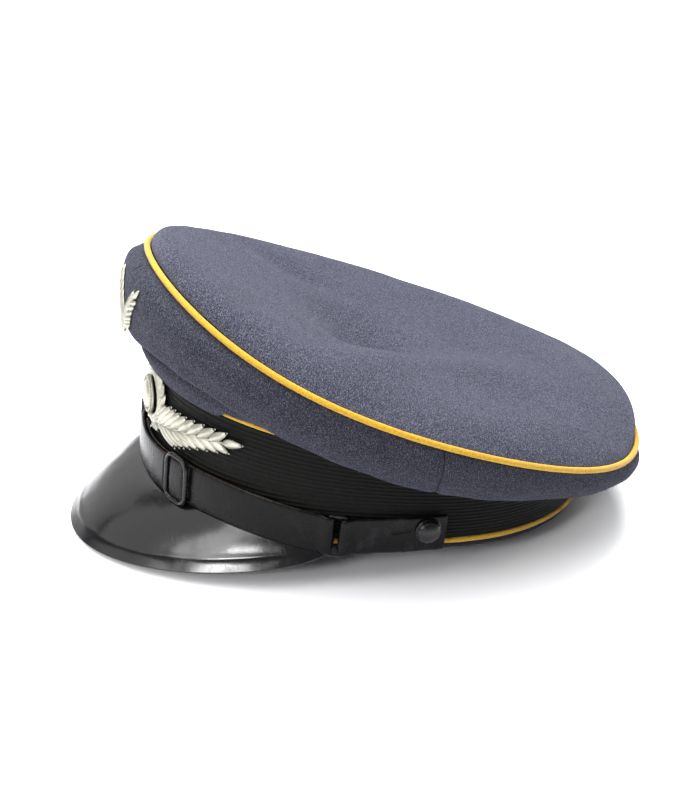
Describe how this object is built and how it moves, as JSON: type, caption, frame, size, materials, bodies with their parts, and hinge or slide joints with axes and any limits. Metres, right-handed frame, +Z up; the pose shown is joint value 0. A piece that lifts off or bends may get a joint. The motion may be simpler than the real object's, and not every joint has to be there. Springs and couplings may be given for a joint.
{
  "type": "peaked visor cap",
  "caption": "Military-style visor cap: wool crown with yellow piping, black ribbed band, gloss peak, leather chin strap with buckles and side buttons, plain silver ornaments.",
  "frame": {"origin": "on the resting surface, below the middle of the cap's bounding box", "axes": "+Z up, -Y towards the peak, +X towards the wearer's left; the cap rests on its peak and the back of its band, so its band is tilted 5 degrees, front up"},
  "size_m": [0.2276, 0.2668, 0.1267],
  "materials": {
    "wool": "felted wool, blue-grey, matte",
    "piping_cloth": "golden yellow wool-covered cord",
    "mohair": "black braid, fine horizontal ribs",
    "lacquered_fibre": "black gloss lacquer",
    "strap_leather": "black lacquered leather, worn satin",
    "black_metal": "black enamel, satin",
    "silver_metal": "bright stamped aluminium"
  },
  "bodies": {
    "root": {"crown_top": "wool", "crown_side_front_left": "wool", "crown_side_front_right": "wool", "crown_side_back_left": "wool", "crown_side_back_right": "wool", "piping_crown": "piping_cloth", "band_body": "wool", "mohair_band": "mohair", "piping_band_top": "piping_cloth", "piping_band_bottom": "piping_cloth", "visor": "lacquered_fibre", "chin_strap_left": "strap_leather", "chin_strap_right": "strap_leather", "strap_tab_left": "strap_leather", "strap_tab_right": "strap_leather", "strap_loop_left": "black_metal", "strap_loop_right": "black_metal", "buckle_left": "black_metal", "buckle_right": "black_metal", "side_button_left": "black_metal", "side_button_right": "black_metal", "band_badge": "silver_metal", "badge_boss": "silver_metal", "crown_badge": "silver_metal"}
  },
  "joints": []
}
